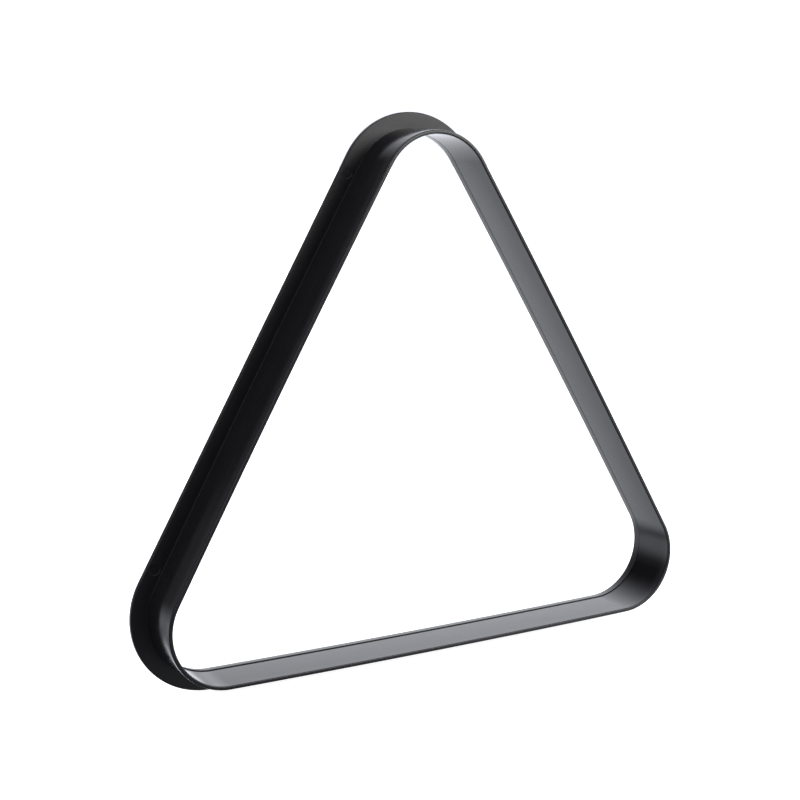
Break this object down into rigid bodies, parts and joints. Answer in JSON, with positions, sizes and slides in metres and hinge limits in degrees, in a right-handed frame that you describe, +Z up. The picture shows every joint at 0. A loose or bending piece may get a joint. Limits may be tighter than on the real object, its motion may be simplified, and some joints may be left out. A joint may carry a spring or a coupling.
{
  "type": "triangle rack",
  "caption": "Thin triangular plastic rack with rounded corners and an outward flange, which gathers pool balls into a tight triangle.",
  "frame": {"origin": "on the surface that the lowest run of the flange's rim touches, under the middle of the rack", "axes": "+Z up to the apex, as the rack is pictured; -Y is the way the free edge faces, which is down when the rack is laid on a table in use; +Y is the flange's side; +X completes the frame"},
  "size_m": [0.307, 0.032, 0.2763],
  "materials": {
    "gloss_black": "polished moulding, black",
    "matt_black": "fine matt moulding, black"
  },
  "bodies": {
    "root": {"wall_band": "gloss_black", "rim_flange": "matt_black"}
  },
  "joints": []
}
